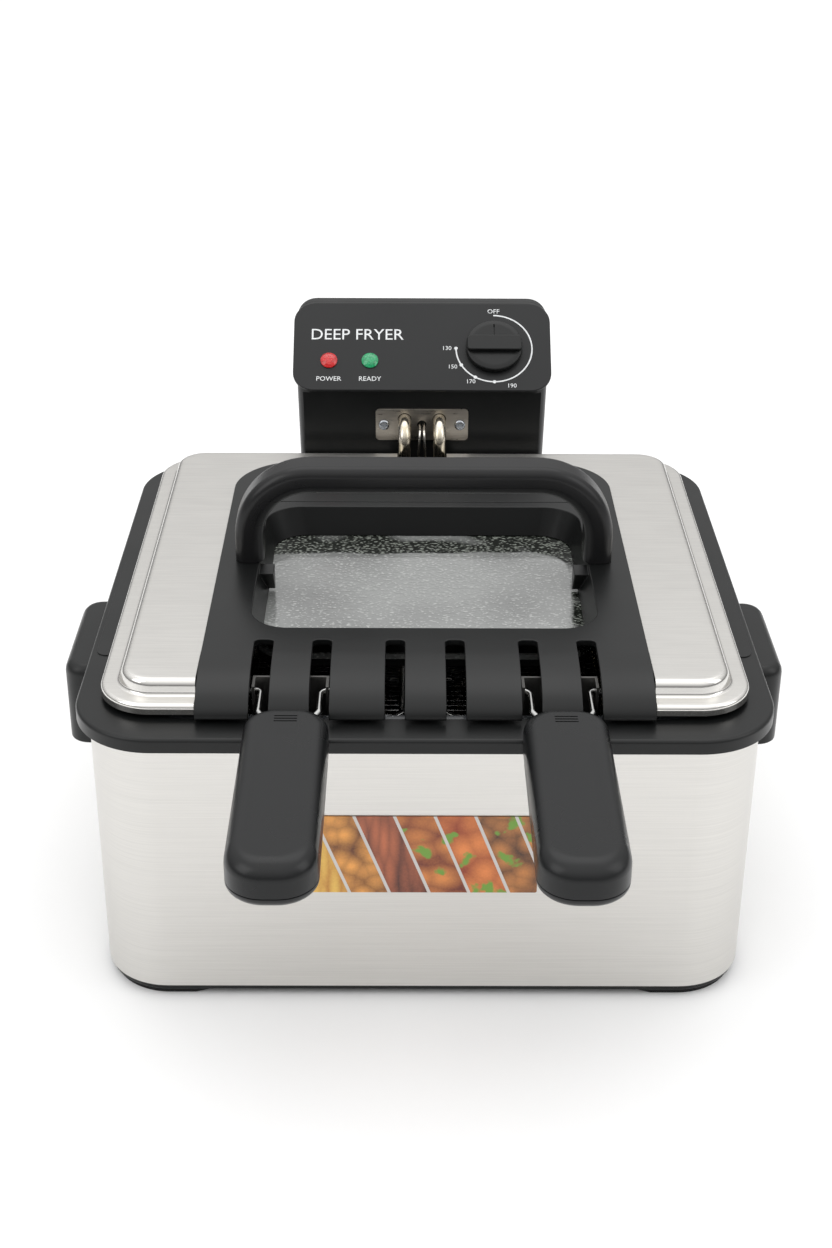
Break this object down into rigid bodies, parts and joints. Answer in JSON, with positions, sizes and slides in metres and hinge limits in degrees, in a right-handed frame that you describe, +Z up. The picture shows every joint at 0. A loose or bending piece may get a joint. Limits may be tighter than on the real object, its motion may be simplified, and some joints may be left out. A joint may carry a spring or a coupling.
{
  "type": "deep fryer",
  "caption": "Free-standing electric deep fryer with folding-grip baskets, lift-off windowed lid, lift-out oil pot and a lift-out rear control unit that carries the heater.",
  "frame": {"origin": "on the floor under the middle of the bounding box", "axes": "+X to the right seen from the front, +Y from the basket grips towards the control unit, +Z up"},
  "size_m": [0.4138, 0.5742, 0.2752],
  "materials": {
    "stainless_wrap": "fine horizontal brushed stainless sheet",
    "stainless_lid": "brushed stainless pressing with polished rolled edges",
    "black_moulding": "satin black heat resistant plastic",
    "rubber_foot": "black rubber",
    "zinc_steel": "zinc plated steel",
    "printed_label": null,
    "pot_enamel": "dark grey enamel",
    "fascia": "printed black film on a moulded plate",
    "red_lens": "clear red moulded lens",
    "green_lens": "clear green moulded lens",
    "knob_moulding": "satin black plastic",
    "heater_steel": "drawn stainless tube and plate",
    "red_button": "red plastic",
    "window_glass": "toughened glass, lightly misted",
    "basket_wire": "bright plated steel wire",
    "grip_moulding": "satin black heat resistant plastic, slightly soft"
  },
  "bodies": {
    "base": {"base_tray": "black_moulding", "housing_shell": "stainless_wrap", "rim_frame": "black_moulding", "side_handle_left": "black_moulding", "side_handle_right": "black_moulding", "unit_dock": "black_moulding", "front_label": "printed_label", "foot_front_left": "rubber_foot", "foot_front_right": "rubber_foot", "foot_rear_left": "rubber_foot", "foot_rear_right": "rubber_foot", "foot_screw_front_left": "zinc_steel", "foot_screw_front_right": "zinc_steel", "foot_screw_rear_left": "zinc_steel", "foot_screw_rear_right": "zinc_steel"},
    "pot": {"oil_pot": "pot_enamel"},
    "control_unit": {"control_front_cover": "black_moulding", "control_rear_cover": "black_moulding", "panel_fascia": "fascia", "power_lens": "red_lens", "ready_lens": "green_lens", "heater_plate": "heater_steel", "plate_screw_left": "zinc_steel", "plate_screw_right": "zinc_steel", "heating_element": "heater_steel", "thermostat_capillary": "heater_steel", "cutout_capillary": "heater_steel", "sensor_clip": "heater_steel", "thermostat_body": "zinc_steel", "safety_switch": "black_moulding", "power_inlet": "black_moulding", "reset_switch": "zinc_steel"},
    "knob": {"thermostat_knob": "knob_moulding", "knob_shaft": "zinc_steel"},
    "button": {"reset_button": "red_button"},
    "lid": {"lid_panel": "stainless_lid", "lid_cover": "black_moulding", "lid_window": "window_glass", "window_retainer": "black_moulding", "lid_handle": "black_moulding", "handle_screw_left": "zinc_steel", "handle_screw_right": "zinc_steel", "filter_cover": "black_moulding", "rear_clip": "black_moulding", "lid_rest_left": "black_moulding", "lid_rest_right": "black_moulding"},
    "basket_left_unit": {"basket_left": "basket_wire", "basket_bracket_left": "basket_wire"},
    "grip_left": {"grip_wire_left": "basket_wire", "grip_upper_left": "grip_moulding", "grip_lower_left": "grip_moulding", "grip_screw_left": "zinc_steel"},
    "basket_right_unit": {"basket_right": "basket_wire", "basket_bracket_right": "basket_wire"},
    "grip_right": {"grip_wire_right": "basket_wire", "grip_upper_right": "grip_moulding", "grip_lower_right": "grip_moulding", "grip_screw_right": "zinc_steel"}
  },
  "joints": [
    {"name": "lid_lift", "type": "slide", "parent": "base", "child": "lid", "axis": [0, 0, 1], "range_m": [0, 0.66]},
    {"name": "pot_lift", "type": "slide", "parent": "base", "child": "pot", "axis": [0, 0, 1], "range_m": [0, 0.15]},
    {"name": "unit_lift", "type": "slide", "parent": "base", "child": "control_unit", "axis": [0, 0, 1], "range_m": [0, 0.3]},
    {"name": "basket_left_lift", "type": "slide", "parent": "base", "child": "basket_left_unit", "axis": [0, 0, 1], "range_m": [0, 0.45]},
    {"name": "grip_left_fold", "type": "hinge", "parent": "basket_left_unit", "child": "grip_left", "pos_m": [-0.0728, -0.1101, 0.1815], "axis": [-1, 0, 0], "range_deg": [0, 90]},
    {"name": "basket_right_lift", "type": "slide", "parent": "base", "child": "basket_right_unit", "axis": [0, 0, 1], "range_m": [0, 0.45]},
    {"name": "grip_right_fold", "type": "hinge", "parent": "basket_right_unit", "child": "grip_right", "pos_m": [0.0728, -0.1101, 0.1815], "axis": [-1, 0, 0], "range_deg": [0, 90]},
    {"name": "thermostat_turn", "type": "hinge", "parent": "control_unit", "child": "knob", "pos_m": [0.0497, 0.24222, 0.25226], "axis": [0, -0.6428, 0.766], "range_deg": [0, 270]},
    {"name": "reset_press", "type": "slide", "parent": "control_unit", "child": "button", "axis": [0, -1, 0], "range_m": [0, 0.002], "stiffness_N_per_m": 400, "springref_m": -0.0015}
  ],
  "couplings": [
    {"joint": "pot_lift", "follows": "lid_lift", "ratio": 0.22},
    {"joint": "unit_lift", "follows": "lid_lift", "ratio": 0.45},
    {"joint": "basket_left_lift", "follows": "lid_lift", "ratio": 0.68},
    {"joint": "basket_right_lift", "follows": "lid_lift", "ratio": 0.68}
  ]
}
